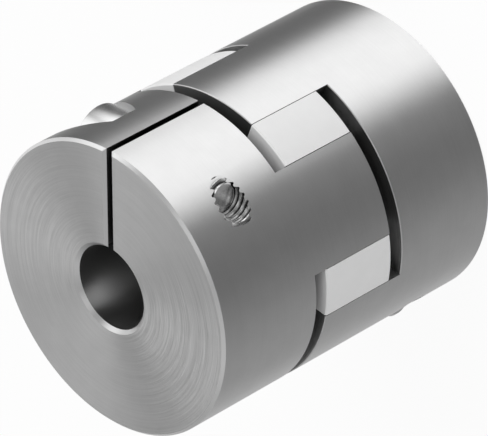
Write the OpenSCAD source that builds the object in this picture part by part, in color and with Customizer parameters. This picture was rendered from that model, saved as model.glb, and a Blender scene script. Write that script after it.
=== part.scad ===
// Zero-backlash jaw coupling: two slit clamping hubs and a star-shaped elastomer insert.
// It stands on the lower hub's end face, with the shaft axis along +Z.

/* [Hubs] */
// Outer diameter of the hubs and of the insert
outer_d = 42; // [40:0.5:60]
// Shaft bore through each hub
bore_d = 12; // [8:0.5:16]
// Length of each hub's clamping body, which is also the shaft's fit length
body_l = 17; // [15:0.5:30]
// Length of the jaws beyond the body
jaw_l = 14; // [10:0.5:24]
// Number of jaws on each hub
jaw_count = 3; // [2:1:5]
// Free gap between a jaw's tip and the other hub's body
tip_gap = 2; // [1:0.25:4]

/* [Insert] */
// Angle that one lobe fills, between its two radial flanks
lobe_angle = 19.5; // [12:0.5:24]
// Outer diameter of the ring that carries the lobes
ring_d = 25.6; // [23:0.2:30]
// Hole through the ring
hole_d = 19.2; // [12:0.2:21]
// Fillet where a lobe's flank runs into the ring
lobe_fillet = 1.2; // [0.5:0.1:1.6]
// Free gap between the insert's ends and the hub bodies
insert_gap = 2; // [1:0.25:4]
// Clearance all round between the insert and the jaws
jaw_clear = 0.1; // [0.05:0.05:0.3]

/* [Clamp] */
// Width of the slit that the screw closes
slit_w = 1; // [0.6:0.1:2]
// Distance from the screw's axis out to the outer diameter
screw_margin = 5.5; // [5:0.25:7]
// Distance from the hub's end face to the screw's axis
screw_inset = 8.5; // [7:0.25:10]
// Distance from the slit's axial wall to the seat of the screw's head
seat_depth = 5.5; // [4:0.1:7]
// Diametral clearance of the pocket round the head
pocket_clear = 1.9; // [0.5:0.1:2.5]
// Diametral clearance of the plain hole round the shank
shank_clear = 0.5; // [0.2:0.1:1]
// Diametral clearance between the screw's thread and the tapped hole
thread_clear = 0.1; // [0.05:0.05:0.3]

/* [Screw] */
// Nominal diameter of the thread
screw_d = 5; // [4:0.5:6]
// Length under the head
screw_l = 18; // [12:1:20]
// Diameter of the head
head_d = 8.5; // [7:0.1:9]
// Height of the head
head_h = 4.8; // [4:0.1:6]
// Width across the flats of the hexagon socket
socket_w = 4; // [3:0.5:5]
// Depth of the socket's flats
socket_depth = 2.5; // [2:0.1:3]

/* [Edges] */
// Chamfer round the outer end face
rim_chamfer = 0.4; // [0.2:0.05:1]
// Chamfer at both ends of the bore
bore_chamfer = 0.5; // [0.2:0.05:1]
// Edge break on the jaws' tips and on the body's inner rim
edge_break = 0.1; // [0.05:0.05:0.5]
// Edge break on the insert
insert_edge = 0.2; // [0.1:0.05:0.5]
// Chamfer round the top of the screw's head
head_chamfer = 0.15; // [0.1:0.05:0.8]
// Chamfer at the screw's tip
tip_chamfer = 0.45; // [0.2:0.05:0.8]

/* [Hidden] */
$fn = 96;

outer_r = outer_d / 2;
ring_r = ring_d / 2;
hub_l = body_l + jaw_l;
overall_l = 2 * body_l + jaw_l + tip_gap;
insert_l = jaw_l + tip_gap - 2 * insert_gap;
screw_offset = outer_r - screw_margin;

// Angles are taken in the lower hub, whose slit points along -Y
slit_angle = -90;
lobe_count = 2 * jaw_count;
lobe_pitch = 360 / lobe_count;
first_lobe = slit_angle + lobe_pitch / 2;
first_jaw = slit_angle + lobe_pitch;
// A hub with an even number of jaws meets its twin only after one more lobe's turn
mating_turn = jaw_count % 2 == 0 ? lobe_pitch : 0;

// How far a fillet's arc crosses the two faces that it joins, so that no sliver is left
fillet_bite = 0.02;
// How deep the jaws reach into the body that they are one piece with
jaw_root = 2 * edge_break;
// How far a cut runs out past the surface that it opens
run_out = 1;
// Slope of the drill point under the hexagon socket
drill_point = tan(30);

// A disc with chamfered rims, standing on z = 0
module chamfered_disc(r, h, low, high) {
    rotate_extrude()
        polygon([[0, 0], [r - low, 0], [r, low], [r, h - high], [r - high, h], [0, h]]);
}

// A hole along +Z from z = 0 with a chamfer at both ends
module chamfered_hole(d, h, chamfer) {
    r = d / 2;
    mouth = r + chamfer + run_out;
    rotate_extrude()
        polygon([[0, -run_out], [mouth, -run_out], [r, chamfer], [r, h - chamfer],
            [mouth, h + run_out], [0, h + run_out]]);
}

// A flat wedge about +X with its point at the origin, reaching past the outer diameter
module wedge(angle) {
    reach = 2 * outer_d;
    half = angle / 2;
    polygon([[0, 0], reach * [cos(half), -sin(half)], reach * [cos(half), sin(half)]]);
}

// The corner between a lobe's upper flank and the ring, filled up to the fillet's arc
module fillet_corner(grow) {
    seat = lobe_fillet - fillet_bite;
    centre_r = ring_r + seat;
    half = lobe_angle / 2;
    centre_angle = half + asin(seat / centre_r);
    flank_r = sqrt(centre_r * centre_r - seat * seat);
    towards_centre = [cos(centre_angle), sin(centre_angle)];
    difference() {
        polygon([[0, 0], [flank_r, 0], centre_r * towards_centre]);
        translate(centre_r * towards_centre)
            circle(lobe_fillet - grow);
    }
}

// The star without its hole, grown all round by the given clearance
module star_outline(grow) {
    circle(ring_r + grow);
    for (i = [0 : lobe_count - 1])
        rotate(first_lobe + i * lobe_pitch) {
            translate([-grow / sin(lobe_angle / 2), 0])
                wedge(lobe_angle);
            fillet_corner(grow);
            mirror([0, 1])
                fillet_corner(grow);
        }
}

// Section of one hub's jaws: its share of the circle, less the grown star
module jaw_section() {
    difference() {
        intersection() {
            circle(outer_r);
            for (i = [0 : jaw_count - 1])
                rotate(first_jaw + i * 2 * lobe_pitch)
                    wedge(lobe_pitch);
        }
        star_outline(jaw_clear);
    }
}

module jaws() {
    intersection() {
        translate([0, 0, body_l - jaw_root])
            linear_extrude(jaw_l + jaw_root)
                jaw_section();
        chamfered_disc(outer_r, hub_l, rim_chamfer, edge_break);
    }
}

// Puts a shape from the screw's own frame, seat at z = 0 and tip along +Z, into the lower hub
module on_screw_axis() {
    translate([-seat_depth, -screw_offset, screw_inset])
        rotate([0, 90, 0])
            children();
}

// Head pocket, plain hole up to the slit and tapped hole from there to the outside
module screw_holes() {
    to_slit = seat_depth + slit_w / 2;
    on_screw_axis() {
        translate([0, 0, -outer_r])
            cylinder(h = outer_r, d = head_d + pocket_clear);
        cylinder(h = to_slit, d = screw_d + shank_clear);
        cylinder(h = to_slit + outer_r, d = screw_d);
    }
}

module clamp_slit() {
    translate([0, -outer_r - run_out, -run_out])
        cube([slit_w, outer_r + run_out, body_l + 2 * run_out]);
}

// One clamping hub, standing on its end face with its jaws up
module hub() {
    color("gainsboro")
        difference() {
            union() {
                chamfered_disc(outer_r, body_l, rim_chamfer, edge_break);
                jaws();
            }
            chamfered_hole(bore_d, body_l, bore_chamfer);
            clamp_slit();
            screw_holes();
        }
}

// Socket head cap screw with a plain shank for its thread
module clamp_screw() {
    head_r = head_d / 2;
    shank_r = (screw_d - thread_clear) / 2;
    socket_r = socket_w / 2;
    color("silver")
        on_screw_axis()
            difference() {
                rotate_extrude()
                    polygon([[0, -head_h], [head_r - head_chamfer, -head_h],
                        [head_r, head_chamfer - head_h], [head_r, 0], [shank_r, 0],
                        [shank_r, screw_l - tip_chamfer], [shank_r - tip_chamfer, screw_l],
                        [0, screw_l]]);
                translate([0, 0, -head_h - run_out])
                    cylinder(h = socket_depth + run_out, r = socket_r / cos(30), $fn = 6);
                translate([0, 0, socket_depth - head_h])
                    cylinder(h = socket_r * drill_point, r1 = socket_r, r2 = 0);
            }
}

// Turns a piece of the lower hub over into the upper hub's place
module turned_over() {
    translate([0, 0, overall_l])
        rotate([180, 0, mating_turn])
            children();
}

module upper_hub() {
    turned_over()
        hub();
}

module lower_hub() {
    hub();
}

module elastomer_insert() {
    color("whitesmoke")
        translate([0, 0, body_l + insert_gap])
            difference() {
                intersection() {
                    linear_extrude(insert_l)
                        star_outline(0);
                    chamfered_disc(outer_r, insert_l, insert_edge, insert_edge);
                }
                chamfered_hole(hole_d, insert_l, insert_edge);
            }
}

module upper_clamp_screw() {
    turned_over()
        clamp_screw();
}

module lower_clamp_screw() {
    clamp_screw();
}

upper_hub();
lower_hub();
elastomer_insert();
upper_clamp_screw();
lower_clamp_screw();
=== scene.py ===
"""Looks of the jaw coupling: turned aluminium hubs, pale elastomer star and steel clamp screws."""
import math

import bmesh
import bpy
from mathutils import Matrix, Vector


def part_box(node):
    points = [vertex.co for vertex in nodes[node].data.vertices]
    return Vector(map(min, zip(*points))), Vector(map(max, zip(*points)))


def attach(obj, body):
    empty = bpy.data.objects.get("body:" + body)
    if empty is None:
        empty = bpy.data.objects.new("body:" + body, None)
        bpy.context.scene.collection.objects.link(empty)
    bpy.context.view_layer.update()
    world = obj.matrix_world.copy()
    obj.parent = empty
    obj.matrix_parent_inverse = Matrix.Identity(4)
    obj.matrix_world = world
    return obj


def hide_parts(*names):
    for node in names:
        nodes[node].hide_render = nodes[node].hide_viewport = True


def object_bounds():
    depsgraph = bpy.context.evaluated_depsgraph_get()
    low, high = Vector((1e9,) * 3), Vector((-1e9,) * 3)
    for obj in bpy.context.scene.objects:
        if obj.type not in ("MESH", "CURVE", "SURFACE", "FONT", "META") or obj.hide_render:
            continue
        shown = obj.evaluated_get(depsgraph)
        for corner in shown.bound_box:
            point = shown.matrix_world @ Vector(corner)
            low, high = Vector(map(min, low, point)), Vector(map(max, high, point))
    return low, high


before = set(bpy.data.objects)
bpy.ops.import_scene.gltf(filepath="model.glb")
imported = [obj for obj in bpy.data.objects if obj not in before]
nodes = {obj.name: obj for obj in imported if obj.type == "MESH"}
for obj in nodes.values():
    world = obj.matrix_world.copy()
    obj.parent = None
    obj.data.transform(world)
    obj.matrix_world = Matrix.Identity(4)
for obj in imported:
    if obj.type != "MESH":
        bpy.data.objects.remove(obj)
cad_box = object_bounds()
MM = 0.001


def in_mm(corner):
    """A corner of a box in millimetres, to the micrometre."""
    return [round(value / MM, 3) for value in corner]


# Sizes that the boxes of the CAD solids give, in millimetres
screw_low, screw_high = [in_mm(corner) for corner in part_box("upper_clamp_screw")]
cad_high = in_mm(cad_box[1])
OUTER_R, OVERALL_L = cad_high[0], cad_high[2]
HEAD_END_X, TIP_X = screw_low[0], screw_high[0]
SCREW_Y = (screw_low[1] + screw_high[1]) / 2
HALF_L = OVERALL_L / 2

# Other sizes of the CAD solids, in millimetres
BORE_R, BORE_CHAMFER = 6.0, 0.5
CAD_SLIT_X = (0.0, 1.0)
SEAT_X = -5.5
HEAD_R, SHANK_R = 4.25, 2.45
POCKET_R = 5.2
SOCKET_R, SOCKET_DEPTH = 2.0, 2.5
# From a hub's end face to the axis of its screw
SCREW_INSET = 8.5
UPPER_Z, LOWER_Z = OVERALL_L - SCREW_INSET, SCREW_INSET
# From the coupling's middle to the faces that the jaws stand on
JAW_ROOT_Z = 8.0

# The slit as the photo shows it, and the chamfer of its two edges at the end face
SLIT_X = (-0.4, 0.6)
SLIT_MIDDLE = sum(SLIT_X) / 2
SLIT_CHAMFER = 0.4

# Camera fitted to the edges in the photo: side from which it looks, lens, axes, and place in millimetres
CAMERA_AZIMUTH = 42
CAMERA_LENS = 405.1
CAMERA_RIGHT = (0.71017, -0.00203, -0.70402)
CAMERA_UP = (-0.37629, 0.84408, -0.38201)
CAMERA_PLACE = (431.82, 388.75, 459.63)

# M5 thread: the screw's root and the tapped hole's root and crest
PITCH = 0.8
CORE_R = 2.0
HOLE_R, CREST_R = 2.5, 2.1
# Where the middle of the screw's ridge crosses the plane through its axis
RIDGE_X = -5.16
# Where the screw's thread starts, and where it has its full depth
THREAD_START_X, RUN_OUT_END_X = -4.0, -3.0

# Points round a turn, and the bend from which an edge is shaded as sharp
TURN_STEPS = 72
SHARP_DEGREES = 25


# Shader helpers

def new_material(name):
    mat = bpy.data.materials.new(name)
    mat.use_nodes = True
    tree = mat.node_tree
    tree.nodes.clear()
    out = tree.nodes.new("ShaderNodeOutputMaterial")
    return mat, tree, out


def add(tree, kind, inputs=None, **settings):
    """A node of that kind with its settings, and its inputs set to values or linked to sockets."""
    node = tree.nodes.new(kind)
    for key, value in settings.items():
        setattr(node, key, value)
    for key, value in (inputs or {}).items():
        if isinstance(value, bpy.types.NodeSocket):
            tree.links.new(value, node.inputs[key])
        else:
            node.inputs[key].default_value = value
    return node


def calc(tree, operation, *values):
    node = add(tree, "ShaderNodeMath", operation=operation)
    for i, value in enumerate(values):
        if isinstance(value, bpy.types.NodeSocket):
            tree.links.new(value, node.inputs[i])
        else:
            node.inputs[i].default_value = value
    return node.outputs[0]


def hypotenuse(tree, a, b):
    squares = calc(tree, "ADD", calc(tree, "MULTIPLY", a, a), calc(tree, "MULTIPLY", b, b))
    return calc(tree, "SQRT", squares)


def weighted(tree, a, weight_a, b, weight_b):
    return calc(tree, "ADD", calc(tree, "MULTIPLY", a, weight_a), calc(tree, "MULTIPLY", b, weight_b))


def soft_ramp(tree, factor, stops):
    """Grey levels at the stops, with eased steps between them."""
    node = add(tree, "ShaderNodeValToRGB", {"Fac": factor})
    node.color_ramp.interpolation = "EASE"
    elements = node.color_ramp.elements
    for i, (position, level) in enumerate(stops):
        element = elements[i] if i < 2 else elements.new(position)
        element.position = position
        element.color = (level, level, level, 1)
    return node.outputs["Color"]


def map_range(tree, value, from_low, from_high, to_low, to_high):
    node = add(tree, "ShaderNodeMapRange", {"Value": value, "From Min": from_low, "From Max": from_high,
                                            "To Min": to_low, "To Max": to_high})
    return node.outputs[0]


def noise(tree, place, scale, detail, roughness=0.5):
    node = add(tree, "ShaderNodeTexNoise", {"Vector": place, "Scale": scale, "Detail": detail,
                                            "Roughness": roughness})
    return node.outputs["Fac"]


def mixed(tree, factor, a, b):
    return add(tree, "ShaderNodeMix", {"Factor": factor, "A": a, "B": b}).outputs["Result"]


def grey(tree, level):
    return add(tree, "ShaderNodeCombineColor", {"Red": level, "Green": level, "Blue": level}).outputs[0]


def painted_crevice_shade(tree, reach):
    """Painted shade: one on open surfaces and towards nought deep in slits and grooves."""
    return add(tree, "ShaderNodeAmbientOcclusion", {"Distance": reach * MM}, samples=12).outputs["AO"]


def off_screw_axis(tree, y, z):
    """Distance of a point from the axis of the screw at its own end of the coupling."""
    from_middle = calc(tree, "SUBTRACT", z, HALF_L * MM)
    own_y = calc(tree, "MULTIPLY", y, calc(tree, "SIGN", from_middle))
    beside = calc(tree, "SUBTRACT", own_y, SCREW_Y * MM)
    above = calc(tree, "SUBTRACT", calc(tree, "ABSOLUTE", from_middle), (UPPER_Z - HALF_L) * MM)
    return hypotenuse(tree, beside, above)


# Materials

def turned_aluminium(name):
    """Aluminium with turning marks, painted highlights on the rim and the slit's chamfers, and painted shade
    in the bore, the tapped holes, the gaps and the crevices.
    """
    # Grey levels of the places on a hub, with painted highlights on the rim and slit chamfers and painted
    # shade in the bore and tapped holes, and the painted shade of the gaps' walls
    low_level, high_level, painted_groove_level = 0.70, 0.73, 0.10
    rim_highlight_level, slit_edge_highlight_level = 0.83, 0.75
    bore_shade_level, bore_edge_level = 0.28, 0.74
    tapping_shade_level = 0.12
    gap_shade = 0.42
    crevice_reach, crevice_contrast = 3.0, 1.8
    # Play, in millimetres, by which a place is taken wider or narrower than it is
    hair, play = 0.01, 0.05
    mat, tree, out = new_material(name)
    coords = add(tree, "ShaderNodeTexCoord")
    x, y, z = add(tree, "ShaderNodeSeparateXYZ", {0: coords.outputs["Object"]}).outputs
    radius = hypotenuse(tree, x, y)
    cosine = calc(tree, "DIVIDE", x, radius)
    sine = calc(tree, "DIVIDE", y, radius)
    from_middle = calc(tree, "ABSOLUTE", calc(tree, "SUBTRACT", z, HALF_L * MM))
    facing = add(tree, "ShaderNodeSeparateXYZ", {0: coords.outputs["Normal"]}).outputs["Z"]
    upright = calc(tree, "ABSOLUTE", facing)
    flat = map_range(tree, upright, 0.9, 0.97, 0, 1)
    slanted = calc(tree, "MULTIPLY", map_range(tree, upright, 0.3, 0.5, 0, 1),
                   map_range(tree, upright, 0.8, 0.9, 1, 0))
    # Turning marks: rings on the faces and on the outside that come and go along the cut
    across = mixed(tree, flat, z, radius)
    drift = 0.3 * MM
    groove_place = add(tree, "ShaderNodeCombineXYZ", {
        "X": across, "Y": calc(tree, "MULTIPLY", cosine, drift),
        "Z": calc(tree, "MULTIPLY", sine, drift)}).outputs[0]
    fine = noise(tree, groove_place, 4200.0, 4.0, 0.7)
    # The facing cut is deepest along one diameter, and more so on one side. On the outside it is shallow. The
    # rings it leaves in the colour are painted groove shade and light, strongest where the cut is deepest
    twice_cosine = calc(tree, "SUBTRACT", calc(tree, "MULTIPLY", cosine, cosine),
                        calc(tree, "MULTIPLY", sine, sine))
    twice_sine = calc(tree, "MULTIPLY", calc(tree, "MULTIPLY", cosine, sine), 2)
    along = weighted(tree, twice_cosine, 0.87, twice_sine, -0.5)
    one_side = calc(tree, "ADD", weighted(tree, cosine, 0.35, sine, -0.1), 1.15)
    face_depth = calc(tree, "MULTIPLY", map_range(tree, along, -0.3, 0.8, 0.25, 1), one_side)
    outside_depth = 0.15
    depth = mixed(tree, flat, outside_depth, face_depth)
    groove = calc(tree, "MULTIPLY", map_range(tree, fine, 0.3, 0.7, -1, 1), depth)
    mottle = noise(tree, coords.outputs["Object"], 320.0, 4.0)
    plain_level = map_range(tree, mottle, 0.3, 0.7, low_level, high_level)
    # Painted groove shade and light in the turning marks' rings
    level = calc(tree, "MULTIPLY_ADD", groove, painted_groove_level, plain_level)
    # Painted light: the end faces are a little brighter on one side, and along one diameter
    painted_side_light = weighted(tree, cosine, -0.059, sine, -0.012)
    painted_way_light = weighted(tree, twice_cosine, -0.020, twice_sine, 0.035)
    painted_face_light = calc(tree, "ADD", calc(tree, "ADD", painted_side_light, painted_way_light), 1)
    on_end = calc(tree, "MULTIPLY", flat, calc(tree, "GREATER_THAN", from_middle, (HALF_L - 2 * play) * MM))
    level = calc(tree, "MULTIPLY", level, mixed(tree, on_end, 1, painted_face_light))
    # Painted highlight: the rim's chamfer is brighter than the rest
    rim_reach = 2
    near_rim = (OUTER_R + HALF_L - rim_reach) * MM
    at_rim = calc(tree, "GREATER_THAN", calc(tree, "ADD", radius, from_middle), near_rim)
    level = mixed(tree, calc(tree, "MULTIPLY", slanted, at_rim), level, rim_highlight_level)
    # The slit's chamfers get a painted highlight too
    half_chamfered = (SLIT_X[1] - SLIT_X[0]) / 2 + SLIT_CHAMFER + hair
    at_slit = calc(tree, "COMPARE", x, SLIT_MIDDLE * MM, half_chamfered * MM)
    slit_edge = calc(tree, "MULTIPLY", slanted, at_slit)
    level = mixed(tree, slit_edge, level, slit_edge_highlight_level)
    # Painted shade darkens the bore, and its chamfer is not darkened
    in_bore = calc(tree, "LESS_THAN", radius, (BORE_R + BORE_CHAMFER - hair) * MM)
    level = mixed(tree, in_bore, level, mixed(tree, slanted, bore_shade_level, bore_edge_level))
    # Painted shade darkens the walls of the tapped holes
    from_screw = off_screw_axis(tree, y, z)
    in_tapping = calc(tree, "MULTIPLY", calc(tree, "LESS_THAN", from_screw, (HOLE_R + 2 * hair) * MM),
                      calc(tree, "LESS_THAN", radius, (OUTER_R - play) * MM))
    level = mixed(tree, in_tapping, level, tapping_shade_level)
    # Painted shade, darker deep in slits, grooves and gaps
    open_share = calc(tree, "POWER", painted_crevice_shade(tree, crevice_reach), crevice_contrast)
    # The painted crevice shade is weaker in the head pockets and on the slit's chamfers
    in_pocket = calc(tree, "MULTIPLY", calc(tree, "LESS_THAN", from_screw, (POCKET_R + play) * MM),
                     calc(tree, "LESS_THAN", x, (SEAT_X + play) * MM))
    eased_shade_mask = calc(tree, "MAXIMUM", in_pocket, slit_edge)
    eased_shade_share = 0.75
    open_share = mixed(tree, eased_shade_mask, open_share, mixed(tree, eased_shade_share, open_share, 1))
    # Painted shade: the walls of the gaps between the hubs are evenly dark
    in_gap = calc(tree, "MULTIPLY", flat, calc(tree, "LESS_THAN", from_middle, (JAW_ROOT_Z + 2 * play) * MM))
    shade = mixed(tree, in_gap, map_range(tree, open_share, 0, 0.85, 0.04, 1), gap_shade)
    colour = grey(tree, calc(tree, "MULTIPLY", level, shade))
    rough = map_range(tree, fine, 0.3, 0.7, 0.34, 0.38)
    groove_height = 0.008 * MM
    bump = add(tree, "ShaderNodeBump", {"Strength": 1.0, "Distance": groove_height, "Height": groove})
    tangent = add(tree, "ShaderNodeTangent", direction_type="RADIAL", axis="Z")
    surface = add(tree, "ShaderNodeBsdfPrincipled", {
        "Base Color": colour, "Metallic": 1.0, "Roughness": rough, "Anisotropic": 0.8,
        "Anisotropic Rotation": 0.25, "Tangent": tangent.outputs[0], "Normal": bump.outputs[0]})
    tree.links.new(surface.outputs[0], out.inputs["Surface"])
    return mat


def pale_elastomer(name):
    mat, tree, out = new_material(name)
    coords = add(tree, "ShaderNodeTexCoord")
    mottle = noise(tree, coords.outputs["Object"], 400.0, 5.0)
    colour = add(tree, "ShaderNodeMix", {"Factor": mottle, "A": (0.80, 0.80, 0.80, 1),
                                         "B": (0.86, 0.86, 0.86, 1)}, data_type="RGBA")
    grain = noise(tree, coords.outputs["Object"], 4000.0, 3.0)
    grain_height = 0.03 * MM
    bump = add(tree, "ShaderNodeBump", {"Strength": 0.1, "Distance": grain_height, "Height": grain})
    rough = map_range(tree, grain, 0.3, 0.7, 0.45, 0.6)
    surface = add(tree, "ShaderNodeBsdfPrincipled", {
        "Base Color": colour.outputs["Result"], "Roughness": rough, "Normal": bump.outputs[0]})
    tree.links.new(surface.outputs[0], out.inputs["Surface"])
    return mat


def cut_metal(name, level, roughness, crevice_reach, darkest, root_shade_start_r, root_shade_full_r, last_x, root_shade_strength):
    """Metal with no grain of its own, for screws and threads.

    Painted shade darkens its crevices, and its thread's roots from root_shade_start_r to root_shade_full_r
    about the screw's axis, from the thread's start to last_x, by up to root_shade_strength.
    """
    mat, tree, out = new_material(name)
    coords = add(tree, "ShaderNodeTexCoord")
    crevice_contrast, spread = 1.4, 0.02
    mottle = noise(tree, coords.outputs["Object"], 900.0, 4.0)
    # Painted shade, darker deep in crevices
    open_share = calc(tree, "POWER", painted_crevice_shade(tree, crevice_reach), crevice_contrast)
    shade = calc(tree, "MULTIPLY", map_range(tree, mottle, 0.3, 0.7, level - spread, level + spread),
                 map_range(tree, open_share, 0, 0.85, darkest, 1))
    x, y, z = add(tree, "ShaderNodeSeparateXYZ", {0: coords.outputs["Object"]}).outputs
    # Painted shade in the thread's roots
    painted_root_shade = map_range(tree, off_screw_axis(tree, y, z), root_shade_start_r * MM, root_shade_full_r * MM, 0, root_shade_strength)
    thread_middle = (THREAD_START_X + last_x) / 2 * MM
    half_thread = (last_x - THREAD_START_X) / 2 * MM
    in_thread = calc(tree, "COMPARE", x, thread_middle, half_thread)
    unshaded_share = calc(tree, "SUBTRACT", 1, calc(tree, "MULTIPLY", painted_root_shade, in_thread))
    shade = calc(tree, "MULTIPLY", shade, unshaded_share)
    rough = map_range(tree, mottle, 0.3, 0.7, roughness - spread, roughness + spread)
    surface = add(tree, "ShaderNodeBsdfPrincipled", {
        "Base Color": grey(tree, shade), "Metallic": 1.0, "Roughness": rough})
    tree.links.new(surface.outputs[0], out.inputs["Surface"])
    return mat


aluminium = turned_aluminium("turned_aluminium")
thread_aluminium = cut_metal("thread_aluminium", level=0.88, roughness=0.22, crevice_reach=0.5, darkest=0.08,
                             root_shade_start_r=2.22, root_shade_full_r=2.42, last_x=OUTER_R, root_shade_strength=0.5)
elastomer = pale_elastomer("pale_elastomer")
steel = cut_metal("bright_steel", level=0.86, roughness=0.24, crevice_reach=0.45, darkest=0.04,
                  root_shade_start_r=2.32, root_shade_full_r=2.08, last_x=TIP_X - (SHANK_R - CORE_R), root_shade_strength=0.85)


def dress(obj, mat):
    obj.data.materials.clear()
    obj.data.materials.append(mat)


dress(nodes["elastomer_insert"], elastomer)


# Meshes

def new_mesh_object(name, verts, faces):
    mesh = bpy.data.meshes.new(name)
    mesh.from_pydata(verts, [], faces)
    mesh.update()
    obj = bpy.data.objects.new(name, mesh)
    bpy.context.scene.collection.objects.link(obj)
    return obj


def clean(obj):
    """Merges what coincides, turns all faces outwards and shades smooth but for the sharp edges."""
    bm = bmesh.new()
    bm.from_mesh(obj.data)
    same_place = 0.0001 * MM
    bmesh.ops.remove_doubles(bm, verts=bm.verts, dist=same_place)
    bmesh.ops.dissolve_degenerate(bm, edges=bm.edges, dist=same_place)
    # A cut leaves points in the middle of edges
    bmesh.ops.dissolve_verts(bm, verts=[v for v in bm.verts if len(v.link_edges) == 2])
    bmesh.ops.recalc_face_normals(bm, faces=bm.faces)
    limit = math.radians(SHARP_DEGREES)
    for face in bm.faces:
        face.smooth = True
    for edge in bm.edges:
        edge.smooth = len(edge.link_faces) == 2 and edge.calc_face_angle(0) < limit
    bm.to_mesh(obj.data)
    bm.free()


def around_x(x, radius, turn):
    return (x * MM, radius * math.cos(turn) * MM, radius * math.sin(turn) * MM)


def hexagon_r(turn, inner_r):
    """Radius of a hexagon with flats towards the Y axis, at an angle about X."""
    sixth = math.pi / 3
    off = (turn + sixth / 2) % sixth - sixth / 2
    return inner_r / math.cos(off)


def screw_mesh(name):
    """A socket head cap screw along X, its seat at SEAT_X, with a real thread down to its chamfered tip."""
    verts, faces = [], []

    def ring(x, radius):
        start = len(verts)
        for i in range(TURN_STEPS):
            turn = 2 * math.pi * i / TURN_STEPS
            verts.append(around_x(x, radius(turn) if callable(radius) else radius, turn))
        return start

    def join(a, b):
        for i in range(TURN_STEPS):
            j = (i + 1) % TURN_STEPS
            faces.append((a + i, a + j, b + j, b + i))

    def point(x):
        verts.append((x * MM, 0, 0))
        return len(verts) - 1

    def fan(centre, a):
        for i in range(TURN_STEPS):
            faces.append((centre, a + (i + 1) % TURN_STEPS, a + i))

    # Head, from the bottom of the socket round to the underside
    head_edge, edge_steps = 0.15, 3
    seat_edge, neck_fillet = 0.06, 0.15
    face_ring_r = 3.1
    socket_end_x = HEAD_END_X + SOCKET_DEPTH
    drill_r = 0.98 * SOCKET_R
    # Rounded mouth of the socket: depth in the head, and growth of the hexagon
    socket_mouth = ((SOCKET_DEPTH, 0), (0.14, 0), (0.06, 0.03), (0, 0.10))
    rings = [(socket_end_x, drill_r)]
    for below, grown in socket_mouth:
        rings.append((HEAD_END_X + below, lambda t, grown=grown: hexagon_r(t, SOCKET_R + grown)))
    rings.append((HEAD_END_X, face_ring_r))
    for k in range(edge_steps + 1):
        bend = math.pi / 2 * k / edge_steps
        x = HEAD_END_X + head_edge * (1 - math.cos(bend))
        rings.append((x, HEAD_R - head_edge * (1 - math.sin(bend))))
    rings += [(SEAT_X - seat_edge, HEAD_R), (SEAT_X, HEAD_R - seat_edge), (SEAT_X, SHANK_R + neck_fillet),
              (SEAT_X + neck_fillet / 3, SHANK_R + neck_fillet / 3), (SEAT_X + neck_fillet, SHANK_R)]
    starts = [ring(x, r) for x, r in rings]
    drill_point = SOCKET_R * math.tan(math.radians(30))
    fan(point(socket_end_x + drill_point), starts[0])
    for a, b in zip(starts, starts[1:]):
        join(a, b)

    # Thread: one strip of profile points along the helix, held between a low and a high envelope
    depth = SHANK_R - CORE_R
    # Places along the axis, from the ridge's middle, and radii: the root's two ends and the crest's
    profile = ((-0.50, CORE_R), (-0.30, CORE_R), (-0.04, SHANK_R), (0.04, SHANK_R))

    def held(x, radius):
        x = min(max(x, THREAD_START_X), TIP_X)
        shallow = (RUN_OUT_END_X - x) / (RUN_OUT_END_X - THREAD_START_X)
        low = CORE_R + depth * min(max(shallow, 0), 1)
        high = SHANK_R - min(max(x - (TIP_X - depth), 0), depth)
        return x, min(max(radius, low), high)

    spare_turns = 3
    turns = math.ceil((TIP_X - THREAD_START_X) / PITCH) + spare_turns
    first = len(verts)
    points = len(profile)
    for i in range(turns * TURN_STEPS + 1):
        turn = 2 * math.pi * i / TURN_STEPS
        for offset, radius in profile:
            x, r = held(RIDGE_X + PITCH * i / TURN_STEPS + offset, radius)
            verts.append(around_x(x, r, turn))
    for i in range(turns * TURN_STEPS):
        for m in range(points):
            a = first + i * points + m
            if m < points - 1:
                b = a + 1
            else:
                b = first + (i + TURN_STEPS) * points
                if i + 1 + TURN_STEPS > turns * TURN_STEPS:
                    continue
            faces.append((a, b, b + points, a + points))
    shank_end = ring(THREAD_START_X, SHANK_R)
    join(starts[-1], shank_end)
    tip = ring(TIP_X, CORE_R)
    fan(point(TIP_X), tip)
    obj = new_mesh_object(name, verts, faces)
    clean(obj)
    return obj


def thread_ridge(name):
    """The ridge of the tapped hole about X, from the slit wall to the hub's outside."""
    half_base, half_crest = 0.35, 0.10
    sunk, run_out = 0.03, 0.15
    base_r = HOLE_R + sunk
    profile = ((-half_base, base_r), (half_base, base_r), (half_crest, CREST_R), (-half_crest, CREST_R))
    hole_end_x = math.sqrt(OUTER_R ** 2 - (SCREW_Y - HOLE_R) ** 2)
    first_x, last_x = SLIT_X[1] - 2 * PITCH, hole_end_x + run_out
    steps = math.ceil((last_x - first_x) / PITCH * TURN_STEPS)
    # Half a pitch off the screw's own ridge, so that each runs in the other's groove
    phase = RIDGE_X - PITCH / 2
    verts, faces = [], []
    for i in range(steps + 1):
        x = first_x + PITCH * i / TURN_STEPS
        turn = 2 * math.pi * (x - phase) / PITCH
        for offset, radius in profile:
            verts.append(around_x(x + offset, radius, turn))
    points = len(profile)
    for i in range(steps):
        for m in range(points):
            a, b = points * i + m, points * i + (m + 1) % points
            faces.append((a, b, b + points, a + points))
    faces.append(tuple(reversed(range(points))))
    faces.append(tuple(points * steps + m for m in range(points)))
    obj = new_mesh_object(name, verts, faces)
    clean(obj)
    return obj


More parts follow.
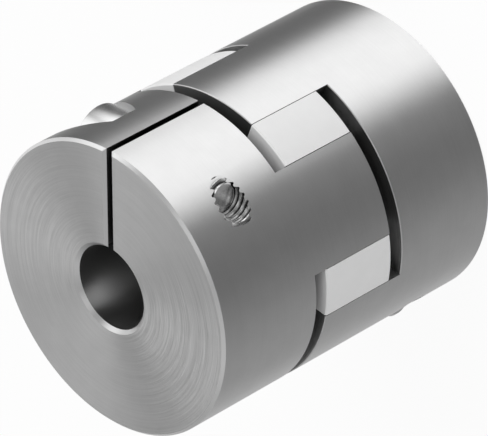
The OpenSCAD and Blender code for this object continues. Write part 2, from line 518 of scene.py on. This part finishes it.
def hub_room(name, side):
    """The room that the hub's own outline leaves the ridge: outside the slit, inside the outer diameter."""
    reach, skin = 3.2, 0.004
    arc_steps = 80
    wall_x = SLIT_X[1] + skin
    verts = []
    outline = [(wall_x, SCREW_Y + reach), (wall_x, SCREW_Y - reach)]
    for i in range(arc_steps + 1):
        y = SCREW_Y - reach + 2 * reach * i / arc_steps
        outline.append((math.sqrt((OUTER_R - skin) ** 2 - y * y), y))
    count = len(outline)
    for z in (-reach, reach):
        verts += [(x * MM, (y - SCREW_Y) * side * MM, z * MM) for x, y in outline]
    faces = [tuple(range(count)), tuple(range(2 * count - 1, count - 1, -1))]
    faces += [(i, (i + 1) % count, (i + 1) % count + count, i + count) for i in range(count)]
    obj = new_mesh_object(name, verts, faces)
    clean(obj)
    return obj


def cut(obj, operation, tool):
    """Keeps what a closed mesh has in common with the tool, or what it doesn't, and removes the tool."""
    modifier = obj.modifiers.new("cut", "BOOLEAN")
    modifier.operation = operation
    modifier.solver = "EXACT"
    modifier.object = tool
    bpy.context.view_layer.update()
    graph = bpy.context.evaluated_depsgraph_get()
    mesh = bpy.data.meshes.new_from_object(obj.evaluated_get(graph))
    obj.modifiers.clear()
    obj.data = mesh
    bpy.data.objects.remove(tool)
    clean(obj)


def join_flats(obj):
    """Joins the faces that lie in one plane, and drops the points along straight edges."""
    bm = bmesh.new()
    bm.from_mesh(obj.data)
    flat_degrees = 0.2
    bmesh.ops.dissolve_limit(bm, angle_limit=math.radians(flat_degrees), verts=bm.verts, edges=bm.edges)
    bm.to_mesh(obj.data)
    bm.free()


def beside_cad_slit(point, side):
    """A point of a CAD hub, slid round the hub's axis as far as the slit lies beside the CAD's."""
    x, y, z = point / MM
    if side * y < BORE_R / 2:
        return point
    ease = 3.0
    away = max(CAD_SLIT_X[0] - x, x - CAD_SLIT_X[1], 0)
    slid_x = x + (SLIT_X[0] - CAD_SLIT_X[0]) * max(1 - away / ease, 0)
    slid_y = side * math.sqrt(x * x + y * y - slid_x * slid_x)
    return Vector((slid_x, slid_y, z)) * MM


def slit_groove(name, side, end_z):
    """A three-sided bar along the slit that cuts its chamfers into the hub's end face."""
    over = 1.0
    deep = (SLIT_X[1] - SLIT_X[0]) / 2 + SLIT_CHAMFER
    wide = deep + over
    section = ((SLIT_MIDDLE, end_z - side * deep), (SLIT_MIDDLE - wide, end_z + side * over),
               (SLIT_MIDDLE + wide, end_z + side * over))
    verts = [Vector((x, y, z)) * MM for y in (0, side * (OUTER_R + over)) for x, z in section]
    faces = [(0, 1, 2), (5, 4, 3), (0, 3, 4, 1), (1, 4, 5, 2), (2, 5, 3, 0)]
    obj = new_mesh_object(name, verts, faces)
    clean(obj)
    return obj


def hub_mesh(name, cad, side, end_z):
    """The CAD hub with its slit where the photo has it, and the slit's edges chamfered at the end face."""
    verts = [beside_cad_slit(v.co, side) for v in cad.data.vertices]
    obj = new_mesh_object(name, verts, [tuple(face.vertices) for face in cad.data.polygons])
    clean(obj)
    cut(obj, "DIFFERENCE", slit_groove("groove", side, end_z))
    join_flats(obj)
    return obj


def settle(obj, mat):
    dress(obj, mat)
    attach(obj, "root")


def put_on_screw_axis(obj, side, z):
    obj.data.transform(Matrix.Translation(Vector((0, side * SCREW_Y, z)) * MM))


def finish_skin(ridge):
    """Gives the ridge's faces on the outer diameter the hub's own finish."""
    mesh = ridge.data
    mesh.materials.append(aluminium)
    skin = 0.02
    skin_r = (OUTER_R - skin) * MM
    for face in mesh.polygons:
        if all(mesh.vertices[v].co.xy.length > skin_r for v in face.vertices):
            face.material_index = 1


for hub, side, end_z, z in (("upper", 1, OVERALL_L, UPPER_Z), ("lower", -1, 0, LOWER_Z)):
    body = hub_mesh(f"{hub}_clamping_hub", nodes[f"{hub}_hub"], side, end_z)
    settle(body, aluminium)
    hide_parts(f"{hub}_hub")
    screw = screw_mesh(f"{hub}_cap_screw")
    put_on_screw_axis(screw, side, z)
    settle(screw, steel)
    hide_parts(f"{hub}_clamp_screw")
    ridge = thread_ridge(f"{hub}_hub_thread")
    cut(ridge, "INTERSECT", hub_room("room", side))
    put_on_screw_axis(ridge, side, z)
    settle(ridge, thread_aluminium)
    finish_skin(ridge)


# Studio

def seen_rays(tree):
    """One for the rays that show the background: the camera's, reflections and transmission."""
    path = add(tree, "ShaderNodeLightPath")
    both = calc(tree, "MAXIMUM", path.outputs["Is Camera Ray"], path.outputs["Is Glossy Ray"])
    return calc(tree, "MAXIMUM", both, path.outputs["Is Transmission Ray"])


def make_world():
    world = bpy.data.worlds.new("studio")
    bpy.context.scene.world = world
    world.use_nodes = True
    world.cycles.sampling_method = "NONE"
    tree = world.node_tree
    tree.nodes.clear()
    out = tree.nodes.new("ShaderNodeOutputWorld")
    ambient = 0.32
    light = add(tree, "ShaderNodeBackground", {"Color": (1, 1, 1, 1), "Strength": ambient})
    white = add(tree, "ShaderNodeBackground", {"Color": (1, 1, 1, 1), "Strength": 1.0})
    mix = add(tree, "ShaderNodeMixShader", {0: seen_rays(tree), 1: light.outputs[0], 2: white.outputs[0]})
    tree.links.new(mix.outputs[0], out.inputs["Surface"])


def make_floor():
    side = 3.0
    floor = new_mesh_object("floor", [(-side, -side, 0), (side, -side, 0), (side, side, 0), (-side, side, 0)],
                            [(0, 1, 2, 3)])
    mat, tree, out = new_material("floor_paper")
    paper = add(tree, "ShaderNodeBsdfDiffuse", {"Color": (0.9, 0.9, 0.9, 1)})
    white = add(tree, "ShaderNodeEmission", {"Color": (1, 1, 1, 1), "Strength": 1.0})
    coords = add(tree, "ShaderNodeTexCoord")
    x, y = add(tree, "ShaderNodeSeparateXYZ", {0: coords.outputs["Object"]}).outputs[:2]
    # Under the coupling the floor is plain paper, so that it is dark at the end of the bore
    paper_r = OUTER_R - 1
    outside = calc(tree, "GREATER_THAN", hypotenuse(tree, x, y), paper_r * MM)
    white_share = 0.93
    share = calc(tree, "MULTIPLY", calc(tree, "MULTIPLY", seen_rays(tree), outside), white_share)
    mix = add(tree, "ShaderNodeMixShader", {0: share, 1: paper.outputs[0], 2: white.outputs[0]})
    tree.links.new(mix.outputs[0], out.inputs["Surface"])
    mat.cycles.emission_sampling = "NONE"
    dress(floor, mat)
    floor.visible_glossy = False
    floor.visible_shadow = False


def direction(azimuth, elevation):
    a, e = math.radians(azimuth), math.radians(elevation)
    return Vector((math.cos(a) * math.cos(e), math.sin(a) * math.cos(e), math.sin(e)))


def make_dome():
    """Soft cards round the object that only reflections show, on a dome turned towards the camera."""
    dome_r = 3.0
    bm = bmesh.new()
    bmesh.ops.create_uvsphere(bm, u_segments=64, v_segments=32, radius=dome_r)
    mesh = bpy.data.meshes.new("dome")
    bm.to_mesh(mesh)
    bm.free()
    dome = bpy.data.objects.new("dome", mesh)
    bpy.context.scene.collection.objects.link(dome)
    dome.rotation_euler[2] = math.radians(CAMERA_AZIMUTH)
    mat, tree, out = new_material("card_light")
    coords = add(tree, "ShaderNodeTexCoord")
    place = coords.outputs["Object"]
    way = add(tree, "ShaderNodeVectorMath", {0: place}, operation="NORMALIZE").outputs["Vector"]
    turn = add(tree, "ShaderNodeTexGradient", {"Vector": place}, gradient_type="RADIAL")
    # Below the horizon: bright and dim strips round the object, by share of a turn and level
    strips = soft_ramp(tree, turn.outputs["Fac"], [
        (0.0, 0.50), (1.0, 0.50), (0.20, 0.25), (0.42, 0.08), (0.515, 0.12), (0.612, 0.97), (0.746, 1.0),
        (0.786, 0.06), (0.89, 0.07)])
    height = add(tree, "ShaderNodeSeparateXYZ", {0: way}).outputs["Z"]
    rise = map_range(tree, height, -0.04, 0.16, 0, 1)
    strip_glow, sky_glow = 1.4, 0.28
    level = mixed(tree, rise, calc(tree, "MULTIPLY", strips, strip_glow), sky_glow)
    core_share = 0.3
    # Above it and below the floor: soft cards by azimuth, elevation, half width and level
    for azimuth, elevation, half_width, glow in (
            (190, 10, 34, 0.70), (142, 30, 32, 0.91), (182, 64, 26, 0.91), (266, 48, 30, 0.70),
            (330, 44, 40, 0.22), (46, 54, 26, 0.55), (92, 46, 24, 0.12), (0, -90, 48, 0.42)):
        middle = direction(azimuth - CAMERA_AZIMUTH, elevation)
        near = add(tree, "ShaderNodeVectorMath", {0: way, 1: middle}, operation="DOT_PRODUCT")
        spread = add(tree, "ShaderNodeMapRange", {
            "Value": near.outputs["Value"], "From Min": math.cos(math.radians(half_width)),
            "From Max": math.cos(math.radians(core_share * half_width)), "To Min": 0.0, "To Max": glow},
            interpolation_type="SMOOTHSTEP")
        level = calc(tree, "ADD", level, spread.outputs[0])
    light = add(tree, "ShaderNodeEmission", {"Color": (1, 1, 1, 1), "Strength": level})
    tree.links.new(light.outputs[0], out.inputs["Surface"])
    mat.cycles.emission_sampling = "NONE"
    dress(dome, mat)
    dome.visible_camera = False
    dome.visible_diffuse = False
    dome.visible_shadow = False
    dome.visible_transmission = False


def make_lamp(name, azimuth, elevation, distance, size, radiance):
    data = bpy.data.lights.new(name, "AREA")
    data.shape = "SQUARE"
    data.size = size
    data.energy = radiance * math.pi * size * size
    lamp = bpy.data.objects.new(name, data)
    bpy.context.scene.collection.objects.link(lamp)
    way = direction(azimuth, elevation)
    lamp.location = Vector((0, 0, HALF_L * MM)) + distance * way
    lamp.rotation_euler = way.to_track_quat("Z", "Y").to_euler()
    lamp.visible_glossy = False


def make_bore_light():
    """A small lamp in the bore, for the light that finds its way in from the other end."""
    radius = 1.5 * MM
    radiance, above_screw = 1.6, 3.3
    data = bpy.data.lights.new("bore_light", "POINT")
    data.shadow_soft_size = radius
    data.energy = radiance * 4 * math.pi * math.pi * radius * radius
    lamp = bpy.data.objects.new("bore_light", data)
    bpy.context.scene.collection.objects.link(lamp)
    lamp.location = Vector((0, 0, UPPER_Z + above_screw)) * MM
    lamp.visible_camera = False


def make_camera():
    data = bpy.data.cameras.new("camera")
    data.sensor_fit = "HORIZONTAL"
    data.sensor_width = 36.0
    data.lens = CAMERA_LENS
    data.clip_start = 0.01
    data.clip_end = 50.0
    camera = bpy.data.objects.new("camera", data)
    bpy.context.scene.collection.objects.link(camera)
    right = Vector(CAMERA_RIGHT)
    up = Vector(CAMERA_UP)
    turn = Matrix((right, up, right.cross(up))).transposed()
    camera.matrix_world = Matrix.Translation(Vector(CAMERA_PLACE) * MM) @ turn.to_4x4()
    bpy.context.scene.camera = camera


make_world()
make_floor()
make_dome()
make_lamp("key", azimuth=102, elevation=40, distance=1.2, size=1.4, radiance=2.05)
make_lamp("fill", azimuth=310, elevation=42, distance=1.2, size=0.9, radiance=1.5)
make_bore_light()
make_camera()
bpy.context.scene.view_settings.view_transform = "Standard"
